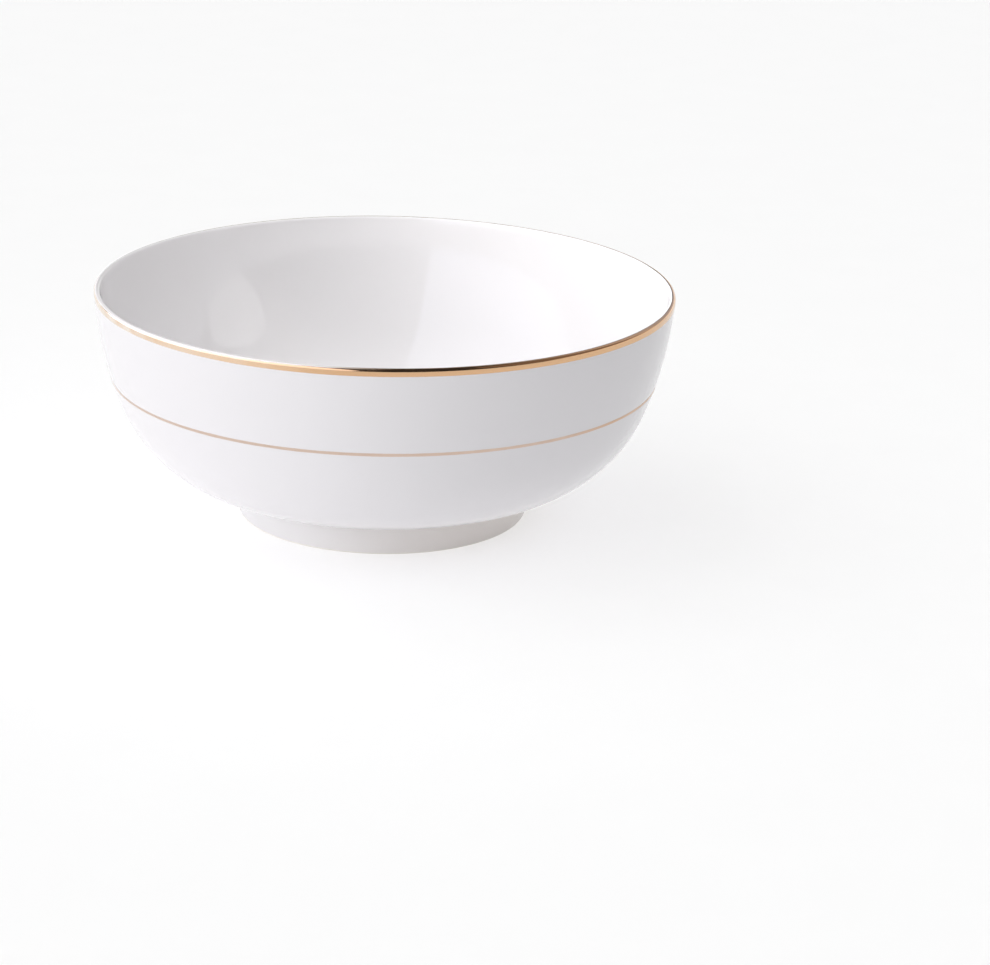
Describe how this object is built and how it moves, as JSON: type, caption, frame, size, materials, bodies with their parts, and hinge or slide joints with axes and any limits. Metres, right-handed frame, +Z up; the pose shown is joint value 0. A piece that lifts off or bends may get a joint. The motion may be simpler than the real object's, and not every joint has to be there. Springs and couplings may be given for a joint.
{
  "type": "porcelain serving bowl",
  "caption": "Round white porcelain serving bowl with a curved side, a low foot ring, a gold band on its lip and a thin gold line round its side.",
  "frame": {"origin": "centre of the foot ring's underside, on the surface that the bowl stands on", "axes": "+Z up along the bowl's axis of rotation; +X and +Y are any two perpendicular directions across it"},
  "size_m": [0.23, 0.23, 0.0925],
  "materials": {
    "body_porcelain": "clear glossy glaze over white porcelain",
    "foot_porcelain": "clear glossy glaze, with a bare ground ring where the bowl stands",
    "rim_gold": "bright fired gold",
    "line_gold": "thin coppery fired gold, softer than the rim"
  },
  "bodies": {
    "root": {"bowl_body": "body_porcelain", "foot_ring": "foot_porcelain", "rim_gilding": "rim_gold", "gilt_line": "line_gold"}
  },
  "joints": []
}
